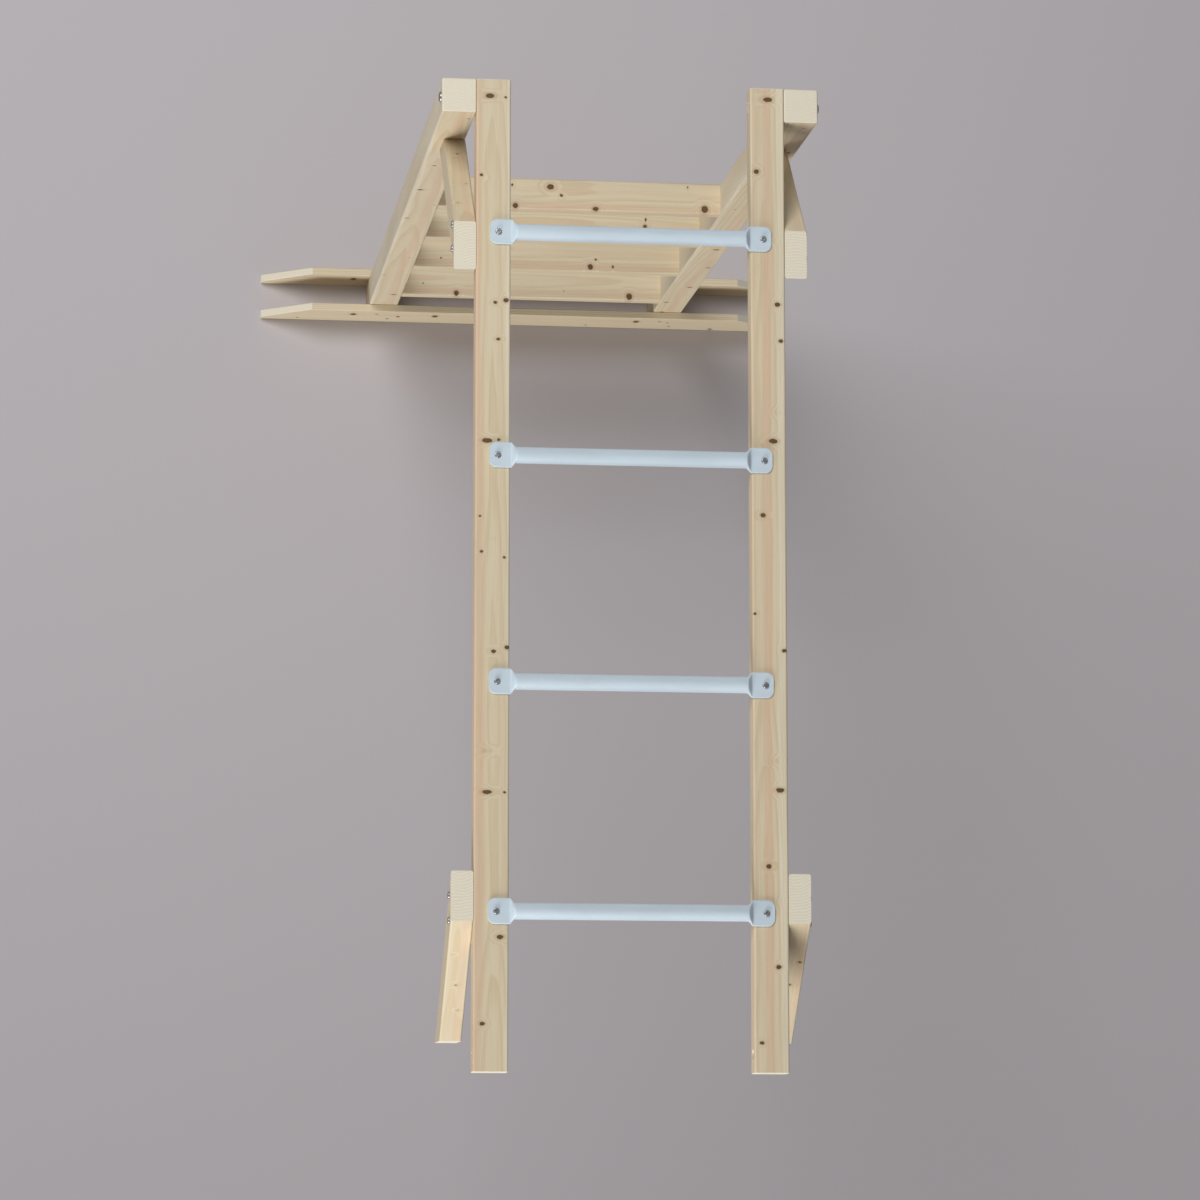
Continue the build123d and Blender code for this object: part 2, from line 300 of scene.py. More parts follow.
def growth_rings(graph, board, drift, wander, near, pith):
    """The dark part of each year's growth: cones round the pith, each with a hard line where it stopped."""
    timber = bpy.context.scene.mb_timber
    bent = graph.vector("ADD", board, graph.vector("MULTIPLY", wander, (0.022, 0.022, 0.0)))
    across_pith = graph.vector("MULTIPLY", graph.vector("SUBTRACT", bent, pith), (1, 1, 0))
    along = graph.node("ShaderNodeSeparateXYZ", (board,)).outputs["Z"]
    radius = graph.plus(graph.vector("LENGTH", across_pith), graph.times(along, 0.009))
    knot_pull = graph.span(near, 0.7, 4.5, 0.007, 0.0)
    radius = graph.plus(radius, knot_pull)
    uneven = graph.noise(drift, 1.0, 1.0, 0.5, (38, 38, 0.4)).outputs["Fac"]
    ring = graph.plus(graph.math("DIVIDE", radius, timber.ring_spacing), graph.times(uneven, 1.6))
    cycle = graph.math("FRACT", ring)
    return graph.times(graph.span(cycle, 0.3, 0.88), graph.span(cycle, 0.92, 0.99, 1.0, 0.0))


def planed_face(graph, board, drift, wander, late, cloud, fibre, streaks_and_highlights):
    """Colour along a board: growth lines, warm bands, pale bands that are painted highlights at an arris,
    fibres and small flecks.
    """
    timber = bpy.context.scene.mb_timber
    lines = graph.times(late, graph.span(cloud, 0.2, 0.8, 0.22, 0.5))
    wood = graph.blend(lines, timber.sapwood, timber.latewood)
    swayed = graph.vector("ADD", board, graph.vector("MULTIPLY", wander, (0.03, 0.03, 0)))
    sway = graph.node("ShaderNodeSeparateXYZ", (swayed,)).outputs["X"]
    # Warm bands are streaks in the wood; pale bands in the end-grain colour are painted highlights along an
    # arris.
    for middle, half_width, strength, colour in streaks_and_highlights:
        band = graph.math("ABSOLUTE", graph.minus(sway, middle))
        band = graph.span(band, half_width * 0.4, half_width * 1.4, strength, 0.0)
        band = graph.times(band, graph.span(cloud, 0.25, 0.75, 0.55, 1.0))
        wood = graph.blend(band, wood, getattr(timber, colour))
    fleck = graph.noise(drift, 1.0, 1.0, 0.5, (1300, 1300, 85)).outputs["Fac"]
    tone = graph.span(cloud, 0.2, 0.8, 0.95, 1.04)
    tone = graph.times(graph.span(fibre, 0.3, 0.7, 0.95, 1.035), tone)
    tone = graph.times(tone, graph.span(fleck, 0.66, 0.78, 1.0, 0.92))
    return graph.shade(wood, tone)


def sawn_face(graph, saw, late):
    """Colour of a sawn end: pale, with saw marks and a trace of the growth lines."""
    timber = bpy.context.scene.mb_timber
    cut = graph.blend(graph.times(late, 0.22), timber.end_grain_and_highlight, timber.latewood)
    return graph.blend(graph.span(saw, 0.45, 0.8, 0.0, 0.25), cut, timber.heartwood)


def paint_knots(graph, wood, near):
    """Gives knots a near-black rim, a brown middle with fine rings of its own, and a warm halo."""
    timber = bpy.context.scene.mb_timber
    heart = tuple(2.4 * part for part in timber.knot)
    bark = tuple(0.4 * part for part in timber.knot)
    wood = graph.blend(graph.span(near, 1.0, 2.4, 0.4, 0.0), wood, timber.heartwood, "MULTIPLY")
    year = graph.math("SINE", graph.times(near, 19.0))
    core = graph.blend(graph.span(year, -1.0, 1.0, 0.0, 0.6), timber.knot, heart)
    wood = graph.blend(graph.span(near, 0.86, 1.08, 1.0, 0.0), wood, core)
    rim = graph.times(graph.span(near, 0.72, 0.92), graph.span(near, 0.98, 1.16, 1.0, 0.0))
    return graph.blend(graph.times(rim, 0.6), wood, bark)


def spruce(name, lie, seed, knots, streaks_and_highlights, pith_side, end_facing=(0.5, 0.68)):
    """Planed spruce, solid right through: growth rings round a pith, knots, fibres and paler sawn ends.

    A knot is its middle and its radii, across, through and along the board. A band in streaks_and_highlights
    is (across, half width, strength, colour); the warm bands are streaks in the wood, and a pale band at an
    arris is a painted highlight. pith_side is -1 or 1, the side away from the face that is seen most.
    end_facing is how squarely a face has to look along the grain to start and to finish turning into a sawn
    end.
    """
    draw = random.Random(seed)
    material, graph, shader = new_material(name)
    spot = graph.node("ShaderNodeTexCoord")
    board = graph.add(
        "ShaderNodeMapping",
        named={
            "Vector": spot.outputs["Object"],
            "Location": -(lie.turn @ lie.middle),
            "Rotation": lie.turn.to_euler("XYZ"),
        })
    drift = graph.vector("ADD", board, tuple(draw.uniform(-9, 9) for _ in range(3)))
    pith = (draw.uniform(-0.02, 0.02), pith_side * draw.uniform(0.045, 0.085), 0.0)

    # The grain wanders slowly along the board, and a knot's outline is a little ragged
    half = (0.5, 0.5, 0.5)
    wander = graph.vector("SUBTRACT", graph.noise(drift, 1.0, 2.0, 0.5, (5, 5, 1.3)).outputs["Color"], half)
    ragged = graph.vector("SUBTRACT", graph.noise(drift, 150.0, 2.0).outputs["Color"], half)
    ragged = graph.vector("MULTIPLY", ragged, (0.004, 0.004, 0.003))
    near = knot_distance(graph, graph.vector("ADD", board, ragged), knots)

    late = growth_rings(graph, board, drift, wander, near, pith)
    cloud = graph.noise(drift, 1.0, 3.0, 0.55, (16, 16, 1.8)).outputs["Fac"]
    fibre = graph.noise(drift, 1.0, 3.0, 0.6, (620, 620, 11)).outputs["Fac"]
    saw = graph.noise(drift, 1.0, 3.0, 0.6, (260, 900, 260)).outputs["Fac"]
    facing = graph.math("ABSOLUTE", graph.vector("DOT_PRODUCT", spot.outputs["Normal"], tuple(lie.grain)))
    end = graph.span(facing, *end_facing)
    wood = planed_face(graph, board, drift, wander, late, cloud, fibre, streaks_and_highlights)
    wood = graph.blend(end, wood, sawn_face(graph, saw, late))
    wood = paint_knots(graph, wood, near)

    relief = graph.plus(graph.times(late, 0.35), graph.times(fibre, 0.5))
    relief = graph.plus(relief, graph.times(graph.times(end, saw), 1.4))
    relief = graph.plus(relief, graph.span(near, 0.8, 1.2, 0.5, 0.0))
    bump = graph.add("ShaderNodeBump", named={"Strength": 0.35, "Distance": 0.5 * MM, "Height": relief})
    rough = graph.span(graph.plus(fibre, graph.times(end, 0.4)), 0.2, 1.1, 0.52, 0.8)
    finish_surface(graph, shader, wood, rough, bump)
    shader.inputs["Specular IOR Level"].default_value = 0.3
    return material


def stray_knots(seed, lie, count, widest=0.0065):
    """Knots at random along a board that run right through it, one in each equal stretch of it."""
    draw = random.Random(seed)
    edge_gap = 4 * MM
    step = lie.length / count
    found = []
    for index in range(count):
        along = -lie.length / 2 + (index + draw.uniform(0.15, 0.85)) * step
        wide = draw.uniform(0.3, 1.0) * widest
        room = lie.width / 2 - 1.3 * wide - edge_gap
        across = draw.uniform(-room, room)
        found.append(((across, 0.0, along), (wide, 20 * wide, wide * draw.uniform(0.5, 0.85))))
    return found


def face_knot(lie, face, across, along, wide, tall):
    """A knot that comes out on one face, -1 or 1 through the board, and ends inside it."""
    return (across, face * lie.depth / 2, along), (wide, 3 * wide, tall)


# ---------------------------------------------------------------- timber pieces

# Knots on the rails' top faces, in metres: from the far end, across from the middle, half width, half length.
# Every second one comes out on the bottom face too, a little further along.
UNDERSIDE_SHIFT = 0.11
LEFT_RAIL_KNOTS = (
    (0.035, -0.008, 0.0085, 0.0046), (0.037, 0.024, 0.0028, 0.0022), (0.199, -0.025, 0.0030, 0.0024),
    (0.456, 0.026, 0.0050, 0.0044), (0.461, 0.004, 0.0036, 0.0028), (0.536, 0.011, 0.0042, 0.0026),
    (0.743, -0.011, 0.0095, 0.0044), (0.741, 0.012, 0.0030, 0.0024), (0.896, -0.025, 0.0026, 0.0022),
    (0.968, -0.022, 0.0030, 0.0026), (0.979, 0.024, 0.0030, 0.0024), (1.160, 0.030, 0.0046, 0.0038),
    (1.168, 0.003, 0.0042, 0.0034), (1.449, -0.009, 0.0090, 0.0042), (1.449, 0.026, 0.0028, 0.0022),
    (1.735, 0.018, 0.0060, 0.0040), (1.905, -0.017, 0.0048, 0.0036),
)
RIGHT_RAIL_KNOTS = (
    (0.024, 0.001, 0.0088, 0.0046), (0.175, -0.023, 0.0052, 0.0048), (0.450, 0.019, 0.0052, 0.0042),
    (0.525, 0.026, 0.0044, 0.0036), (0.731, 0.009, 0.0085, 0.0046), (0.883, -0.013, 0.0050, 0.0042),
    (1.083, -0.030, 0.0030, 0.0024), (1.157, 0.029, 0.0045, 0.0036), (1.438, 0.019, 0.0078, 0.0046),
    (1.590, -0.005, 0.0050, 0.0044), (1.790, 0.014, 0.0052, 0.0038), (1.940, -0.020, 0.0042, 0.0030),
)
# Warm bands along a board, and along the +X edge of each rail a pale band that is a painted highlight on the
# rounded arris: across from the middle, half width, strength, colour. The warm band near each rail's -X edge
# makes that side darker.
LEFT_RAIL_STREAKS_AND_HIGHLIGHT = ((-0.029, 0.011, 0.85, "heartwood"), (0.014, 0.003, 0.35, "heartwood"),
                     # the pale band at 0.031 is a painted highlight on the left rail's +X arris
                     (0.031, 0.004, 0.60, "end_grain_and_highlight"))
RIGHT_RAIL_STREAKS_AND_HIGHLIGHT = ((-0.004, 0.010, 0.85, "heartwood"), (-0.031, 0.005, 0.40, "heartwood"),
                      # the pale band at 0.026 is a painted highlight on the right rail's +X arris
                      (0.026, 0.009, 0.50, "end_grain_and_highlight"))
# Knots near the front edges of the treads, from the lowest tread up: x, from the front edge, half width and
# half length
TREAD_KNOTS = (
    ((-0.184, 0.007, 0.0060, 0.0058), (0.238, 0.010, 0.0075, 0.0066)),
    ((0.103, 0.012, 0.0062, 0.0058), (0.116, 0.030, 0.0026, 0.0026)),
    ((-0.230, 0.018, 0.0040, 0.0036), (0.190, 0.040, 0.0046, 0.0040)),
    ((-0.144, 0.007, 0.0058, 0.0055), (0.280, 0.011, 0.0078, 0.0070), (-0.066, 0.052, 0.0055, 0.0075),
     (-0.041, 0.033, 0.0030, 0.0034), (0.035, 0.005, 0.0045, 0.0060)),
)


class MONKEYBARS_OT_rails(Operator):
    """Finishes the two rails in planed spruce"""

    bl_idname = "monkeybars.rails"
    bl_label = "Finish rails"

    def execute(self, context):
        plan = (("left", LEFT_RAIL_KNOTS, LEFT_RAIL_STREAKS_AND_HIGHLIGHT, 11),
                ("right", RIGHT_RAIL_KNOTS, RIGHT_RAIL_STREAKS_AND_HIGHLIGHT, 12))
        for side, measured, streaks_and_highlights, seed in plan:
            lie = Lie(f"rail_{side}", ALONG, RIGHT)
            knots = [face_knot(lie, -1, across, lie.length / 2 - down, wide, tall)
                     for down, across, wide, tall in measured]
            knots += [face_knot(lie, 1, across, down - lie.length / 2 - UNDERSIDE_SHIFT, wide, tall)
                      for down, across, wide, tall in measured[::2]]
            finish_node(f"rail_{side}", spruce(f"spruce_rail_{side}", lie, seed, knots, streaks_and_highlights, 1))
        return {"FINISHED"}


class MONKEYBARS_OT_posts(Operator):
    """Finishes the two posts in planed spruce with sawn tops"""

    bl_idname = "monkeybars.posts"
    bl_label = "Finish posts"

    def execute(self, context):
        # The pale band at -0.031 is a painted highlight on each post's -X arris and side; the warm band is a
        # streak in the wood.
        streaks_and_highlights = ((0.012, 0.010, 0.6, "heartwood"), (-0.031, 0.005, 0.5, "end_grain_and_highlight"))
        for side, seed in (("left", 21), ("right", 24)):
            lie = Lie(f"post_{side}", UP, RIGHT)
            knots = stray_knots(seed, lie, 11)
            finish_node(f"post_{side}", spruce(f"spruce_post_{side}", lie, seed, knots, streaks_and_highlights, 1))
        return {"FINISHED"}


class MONKEYBARS_OT_treads(Operator):
    """Finishes the treads between the posts"""

    bl_idname = "monkeybars.treads"
    bl_label = "Finish treads"

    def execute(self, context):
        for index, measured in enumerate(TREAD_KNOTS):
            node = f"tread_{index + 1}"
            lie = Lie(node, RIGHT, ALONG)
            knots = [face_knot(lie, 1, inset - lie.width / 2, x, wide, tall)
                     for x, inset, wide, tall in measured]
            knots += stray_knots(31 + index, lie, 2, 0.004)
            streaks_and_highlights = ((-0.024, 0.008, 0.75, "heartwood"), (0.010, 0.006, 0.35, "heartwood"))
            finish_node(node, spruce(f"spruce_{node}", lie, 31 + index, knots, streaks_and_highlights, -1))
        return {"FINISHED"}


class MONKEYBARS_OT_foot_planks(Operator):
    """Finishes the two foot planks"""

    bl_idname = "monkeybars.foot_planks"
    bl_label = "Finish foot planks"

    def execute(self, context):
        for side, seed, places in (("front", 41, (-0.422, -0.221, 0.277)), ("back", 42, (-0.422, 0.130))):
            node = f"foot_plank_{side}"
            lie = Lie(node, RIGHT, UP)
            knots = stray_knots(seed, lie, 6, 0.007)
            knots += [face_knot(lie, 1, 0.020, x, 0.0105, 0.0064) for x in places]
            streaks_and_highlights = ((0.02, 0.014, 0.4, "heartwood"),)
            finish_node(node, spruce(f"spruce_{node}", lie, seed, knots, streaks_and_highlights, -1, (0.4, 0.6)))
        return {"FINISHED"}


class MONKEYBARS_OT_braces(Operator):
    """Finishes the four knee braces, whose grain runs at 45 degrees"""

    bl_idname = "monkeybars.braces"
    bl_label = "Finish knee braces"

    def execute(self, context):
        for end, slope in (("far", Vector((0, 1, -1))), ("near", Vector((0, 1, 1)))):
            for index, side in enumerate(("left", "right")):
                node = f"brace_{end}_{side}"
                lie = Lie(node, slope, RIGHT)
                lie.length /= 2  # no knots near the cut ends
                seed = 51 + index + (10 if end == "near" else 0)
                knots = stray_knots(seed, lie, 3, 0.005)
                streaks_and_highlights = ((0.009, 0.008, 0.5, "heartwood"),)
                finish_node(node, spruce(f"spruce_{node}", lie, seed, knots, streaks_and_highlights, 1))
        return {"FINISHED"}


# ---------------------------------------------------------------- coated and plated steel


def powder_coat(name):
    """Pale powder coat: fine orange peel, faint cloudiness and a little polish where hands grip."""
    rungs = bpy.context.scene.mb_rungs
    material, graph, shader = new_material(name)
    spot = graph.node("ShaderNodeTexCoord")
    place = spot.outputs["Object"]
    peel = graph.noise(place, 900.0, 2.0, 0.45).outputs["Fac"]
    speck = graph.noise(place, 3200.0, 1.0, 0.5).outputs["Fac"]
    cloud = graph.noise(place, 1.0, 3.0, 0.55, (9, 30, 30)).outputs["Fac"]
    tone = graph.span(speck, 0.3, 0.7, 0.98, 1.015)
    tone = graph.times(graph.span(cloud, 0.25, 0.75, 0.955, 1.035), tone)
    colour = graph.shade(rungs.coat, tone)
    along = graph.math("ABSOLUTE", graph.node("ShaderNodeSeparateXYZ", (place,)).outputs["X"])
    grip = graph.times(graph.span(along, 0.06, 0.19, 1.0, 0.0), graph.span(cloud, 0.3, 0.7, 0.4, 1.0))
    rough = graph.minus(graph.span(cloud, 0.2, 0.8, 0.40, 0.48), graph.times(grip, 0.08))
    bump = graph.add("ShaderNodeBump", named={"Strength": 0.25, "Distance": 0.2 * MM, "Height": peel})
    finish_surface(graph, shader, colour, rough, bump)
    return material


def zinc_plate(name):
    """Bright zinc: bluish, with faint spangle and turning marks."""
    fasteners = bpy.context.scene.mb_fasteners
    material, graph, shader = new_material(name)
    place = graph.node("ShaderNodeTexCoord").outputs["Object"]
    spangle = graph.add("ShaderNodeTexVoronoi", named={"Vector": place, "Scale": 700.0})
    cloud = graph.noise(place, 160.0, 3.0, 0.6).outputs["Fac"]
    tone = graph.times(graph.span(spangle, 0.1, 0.7, 0.92, 1.05), graph.span(cloud, 0.3, 0.7, 0.86, 1.08))
    colour = graph.shade(fasteners.zinc, tone)
    marks = graph.noise(place, 2600.0, 1.0, 0.5).outputs["Fac"]
    bump = graph.add("ShaderNodeBump", named={"Strength": 0.15, "Distance": 0.1 * MM, "Height": marks})
    finish_surface(graph, shader, colour, graph.span(cloud, 0.25, 0.75, 0.26, 0.44), bump)
    shader.inputs["Metallic"].default_value = 0.9
    return material


# ---------------------------------------------------------------- screw sizes


class Screw:
    """A wood screw's sizes, given in millimetres and kept in metres."""

    def __init__(self, head_radius, shank_radius, length, head_height, countersunk=False):
        self.head_radius = head_radius * MM
        self.shank_radius = shank_radius * MM
        self.length = length * MM
        self.head_height = head_height * MM
        self.countersunk = countersunk


PAD_SCREW = Screw(6.5, 3, 40, 3.5)
BRACE_SCREW = Screw(7, 3, 80, 4)
TREAD_SCREW = Screw(6, 3, 120, 3, countersunk=True)
PLANK_SCREW = Screw(5, 2.5, 60, 2.5, countersunk=True)
BRACE_SCREW_SPACING = 50 * MM
CLEARANCE = 0.5 * MM      # round the shank, in a pad's hole
SINK = 0.3 * MM           # of a countersunk head below the wood
TIP = 6 * MM              # length of the point
POINT = 0.1 * MM          # radius where the point ends
BEVEL = 0.2 * MM          # at the edges of a head
SEAT = 0.01 * MM          # from the surface down to the corner under a pan head
PAN_ROUND = 0.55          # of the head's height, the rounding of a pan head
PAN_STEPS = 6             # in that rounding
RECESS_SHARE = 0.42       # of the head's radius, the drive recess
RECESS_DEPTH = 2.2 * MM
OVERSHOOT = 1 * MM        # of a cutter past the surface that it cuts


# ---------------------------------------------------------------- geometry trees


def new_shape(name, sizes):
    """A geometry tree with named size inputs, its graph and its input sockets by name."""
    tree = bpy.data.node_groups.new(name, "GeometryNodeTree")
    tree.interface.new_socket("Geometry", in_out="INPUT", socket_type="NodeSocketGeometry")
    for label, value in sizes.items():
        kind = "NodeSocketInt" if isinstance(value, int) else "NodeSocketFloat"
        tree.interface.new_socket(label, in_out="INPUT", socket_type=kind)
    tree.interface.new_socket("Geometry", in_out="OUTPUT", socket_type="NodeSocketGeometry")
    graph = Graph(tree)
    return tree, graph, graph.node("NodeGroupInput").outputs


def end_shape(graph, mesh, material):
    """Smooth faces with sharp corners, then real geometry with its material."""
    angle = graph.node("GeometryNodeInputMeshEdgeAngle").outputs["Unsigned Angle"]
    smooth = graph.add("GeometryNodeSetShadeSmooth", (mesh,), domain="FACE")
    sharp = graph.node("GeometryNodeSetShadeSmooth", (smooth,), domain="EDGE")
    graph.feed(sharp.inputs["Selection"], graph.math("GREATER_THAN", angle, SHARP_FROM))
    graph.feed(sharp.inputs["Shade Smooth"], False)
    real = graph.add("GeometryNodeRealizeInstances", (sharp.outputs[0],))
    finished = graph.add("GeometryNodeSetMaterial", (real,), {"Material": material})
    graph.node("NodeGroupOutput", (finished,))


def run_shape(name, base, tree, sizes):
    """Runs a geometry tree on a base mesh and returns its result as a plain mesh object."""
    carrier = bpy.data.objects.new(name + "_carrier", base)
    bpy.context.collection.objects.link(carrier)
    modifier = carrier.modifiers.new(name, "NODES")
    modifier.node_group = tree
    sockets = {item.name: item.identifier for item in tree.interface.items_tree if item.in_out == "INPUT"}
    for label, value in sizes.items():
        modifier[sockets[label]] = value
    bpy.context.view_layer.update()
    evaluated = carrier.evaluated_get(bpy.context.evaluated_depsgraph_get())
    mesh = bpy.data.meshes.new_from_object(evaluated)
    mesh.name = name
    carrier.modifiers.clear()
    bpy.data.objects.remove(carrier)
    if not mesh.polygons:
        raise RuntimeError(f"{name} came out empty")
    clean = bmesh.new()
    clean.from_mesh(mesh)
    bmesh.ops.recalc_face_normals(clean, faces=clean.faces)
    clean.to_mesh(mesh)
    clean.free()
    piece = bpy.data.objects.new(name, mesh)
    bpy.context.collection.objects.link(piece)
    return piece


def deliver(piece, node):
    """Puts a piece in place of a node on the only body."""
    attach(piece, "root")
    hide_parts(node)


STATIONS = 201
# Where the press starts and ends and where the pad's corner starts, counted over one half of the stations
PRESS_FROM, PRESS_TO, CORNER_FROM = 0.25, 0.6, 0.7
LAST = 0.9999  # the stations past this close the end
BORE_FACETS, DRILL_FACETS = 48, 24
DRILL_DEPTH = 12 * MM


def pressed_rung_tree(material, sizes):
    """A tube whose ends are pressed flat into pads with rounded corners, along X and round Y and Z of 0.

    The grid's X runs from end to end and its Y runs round the tube. The section keeps its girth while it
    changes from a circle to a flat strip.
    """
    tree, graph, size = new_shape("pressed_rung", sizes)
    grid = graph.add(
        "GeometryNodeMeshGrid",
        named={"Size X": 2.0, "Size Y": 2.0, "Vertices X": STATIONS, "Vertices Y": size["Facets"]})
    place = graph.node("ShaderNodeSeparateXYZ", (graph.node("GeometryNodeInputPosition").outputs[0],))
    end = graph.math("SIGN", place.outputs["X"])
    step = graph.math("ABSOLUTE", place.outputs["X"])
    turn = graph.times(graph.plus(place.outputs["Y"], 1.0), math.pi)

    # Stations along one half: round tube, press, flat pad, rounded corner
    corner = size["Pad corner"]
    press = graph.minus(size["Flat start"], size["Round end"])
    pad = graph.minus(graph.minus(size["Pad end"], corner), size["Flat start"])
    station = graph.plus(graph.span(step, 0.0, PRESS_FROM, 0.0, size["Round end"], "LINEAR"),
                         graph.span(step, PRESS_FROM, PRESS_TO, 0.0, press, "LINEAR"))
    station = graph.plus(station, graph.span(step, PRESS_TO, CORNER_FROM, 0.0, pad, "LINEAR"))
    corner_turn = graph.span(step, CORNER_FROM, 1.0, 0.0, math.pi / 2, "LINEAR")
    station = graph.plus(station, graph.times(graph.math("SINE", corner_turn), corner))

    # Half the width: the circle's radius, then half its girth, then the corner's quarter circle
    half_wide = graph.minus(graph.times(size["Radius"], math.pi / 2), corner)
    half_wide = graph.plus(half_wide, graph.times(graph.math("COSINE", corner_turn), corner))
    flat = graph.span(step, PRESS_FROM, PRESS_TO)
    reach = graph.plus(graph.times(graph.minus(half_wide, size["Radius"]), flat), size["Radius"])
    cosine = graph.math("COSINE", turn)
    across = graph.times(cosine, reach)

    # Half the height: the circle's, then one wall with round edges, and 0 at the very end to close it
    sine = graph.math("SINE", turn)
    edge = graph.math("ABSOLUTE", graph.times(cosine, half_wide))
    edge = graph.minus(edge, graph.minus(half_wide, size["Wall"]))
    edge = graph.math("DIVIDE", graph.math("MAXIMUM", edge, 0.0), size["Wall"])
    thin = graph.math("SQRT", graph.math("MAXIMUM", graph.minus(1.0, graph.times(edge, edge)), 0.0))
    thin = graph.times(graph.times(thin, size["Wall"]), graph.math("SIGN", sine))
    round_height = graph.times(sine, size["Radius"])
    height = graph.plus(round_height, graph.times(graph.minus(thin, round_height), flat))
    height = graph.times(height, graph.math("LESS_THAN", step, LAST))
    shell = graph.add("GeometryNodeSetPosition", (grid,), {
        "Position": graph.add("ShaderNodeCombineXYZ", (graph.times(station, end), across, height))})
    shell = graph.add("GeometryNodeMergeByDistance", (shell,), {"Distance": WELD})

    # The hollow, a drain hole under each end, and a hole for each screw
    cut = graph.node("GeometryNodeMeshBoolean", operation="DIFFERENCE", solver="EXACT")
    graph.feed(cut.inputs["Mesh 1"], shell)
    bore = graph.minus(size["Radius"], size["Wall"])
    hollow = graph.add("GeometryNodeMeshCylinder", named={
        "Vertices": BORE_FACETS, "Radius": bore, "Depth": graph.times(size["Round end"], 2.0)})
    hollow = graph.add("GeometryNodeTransform", (hollow,), {"Rotation": (0, math.pi / 2, 0)})
    graph.feed(cut.inputs["Mesh 2"], hollow)
    drain_x = graph.minus(size["Round end"], size["Drain inset"])
    drain_z = graph.times(size["Radius"], -1.0)
    holes = ((drain_x, drain_z, size["Drain hole"]), (size["Screw place"], 0.0, size["Screw hole"]))
    for x, z, radius in holes:
        drill = graph.add("GeometryNodeMeshCylinder", named={
            "Vertices": DRILL_FACETS, "Radius": radius, "Depth": DRILL_DEPTH})
        for side in (-1.0, 1.0):
            spot = graph.add("ShaderNodeCombineXYZ", (graph.times(x, side), 0.0, z))
            placed = graph.add("GeometryNodeTransform", (drill,), {"Translation": spot})
            graph.feed(cut.inputs["Mesh 2"], placed)
    middle = graph.add("ShaderNodeCombineXYZ", (0.0, size["Place Y"], size["Place Z"]))
    placed = graph.add("GeometryNodeTransform", (cut.outputs["Mesh"],), {"Translation": middle})
    end_shape(graph, placed, material)
    return tree


class MONKEYBARS_OT_rungs(Operator):
    """Makes the four rungs: coated steel tube with its ends pressed flat"""

    bl_idname = "monkeybars.rungs"
    bl_label = "Make rungs"

    def execute(self, context):
        rungs = context.scene.mb_rungs
        material = powder_coat("pale_powder_coat")
        _, screws_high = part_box("rung_screws")
        rail_low, rail_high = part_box("rail_right")
        flat_start = rail_low.x - rungs.overhang
        tree = None
        for node in sorted(numbered("rung")):
            low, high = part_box(node)
            centre_z = rail_high.z + rungs.wall
            sizes = {
                "Pad end": high.x,
                "Flat start": flat_start,
                "Round end": flat_start - rungs.press,
                "Radius": high.z - centre_z,
                "Wall": rungs.wall,
                "Pad corner": rungs.corner,
                "Drain hole": rungs.drain,
                "Drain inset": rungs.drain_inset,
                "Screw place": screws_high.x - PAD_SCREW.head_radius,
                "Screw hole": PAD_SCREW.shank_radius + CLEARANCE,
                "Place Y": (low.y + high.y) / 2,
                "Place Z": centre_z,
                "Facets": rungs.facets + 1,
            }
            tree = tree or pressed_rung_tree(material, sizes)
            piece = run_shape("pressed_" + node, bpy.data.meshes.new(node + "_base"), tree, sizes)
            deliver(piece, node)
        return {"FINISHED"}


def turned(graph, outline, facets):
    """A closed turned shape round Z from (radius, height) points, lowest first."""
    index = graph.node("GeometryNodeInputIndex").outputs[0]
    fields = []
    for column in zip(*outline):
        switch = graph.node("GeometryNodeIndexSwitch", data_type="FLOAT")
        while len(switch.index_switch_items) < len(column):
            switch.index_switch_items.new()
        graph.feed(switch.inputs["Index"], index)
        for item, value in enumerate(column):
            graph.feed(switch.inputs[item + 1], value)
        fields.append(switch.outputs[0])
    radius, height = fields
    line = graph.add("GeometryNodeMeshLine", named={"Count": len(outline)})
    line = graph.add("GeometryNodeSetPosition", (line,), {
        "Position": graph.add("ShaderNodeCombineXYZ", (0.0, 0.0, height))})
    path = graph.add("GeometryNodeMeshToCurve", (line,))
    ring = graph.add("GeometryNodeCurvePrimitiveCircle", named={"Resolution": facets, "Radius": 1.0})
    return graph.add("GeometryNodeCurveToMesh", (path, ring), {"Scale": radius, "Fill Caps": True})


def lobed_recess(graph, radius, top, depth):
    """A closed six-lobed plug that cuts the drive recess out of a head."""
    lobes, waist, rounding = 6, 0.68, 0.22
    star = graph.add("GeometryNodeCurveStar", named={
        "Points": lobes, "Inner Radius": graph.times(radius, waist), "Outer Radius": radius})
    star = graph.add("GeometryNodeFilletCurve", (star,), {
        "Radius": graph.times(radius, rounding), "Count": 3, "Limit Radius": True}, mode="POLY")
    face = graph.add("GeometryNodeFillCurve", (star,), mode="NGONS")
    floor = graph.add("ShaderNodeCombineXYZ", (0.0, 0.0, graph.minus(top, depth)))
    face = graph.add("GeometryNodeTransform", (face,), {"Translation": floor})
    height = graph.plus(depth, OVERSHOOT)
    wall = graph.node("GeometryNodeExtrudeMesh", (face,), {
        "Offset": (0.0, 0.0, 1.0), "Offset Scale": height, "Individual": False}, mode="FACES")
    join = graph.node("GeometryNodeJoinGeometry")
    graph.feed(join.inputs[0], wall.outputs["Mesh"])
    graph.feed(join.inputs[0], graph.add("GeometryNodeFlipFaces", (face,)))
    return graph.add("GeometryNodeMergeByDistance", (join.outputs[0],), {"Distance": WELD})


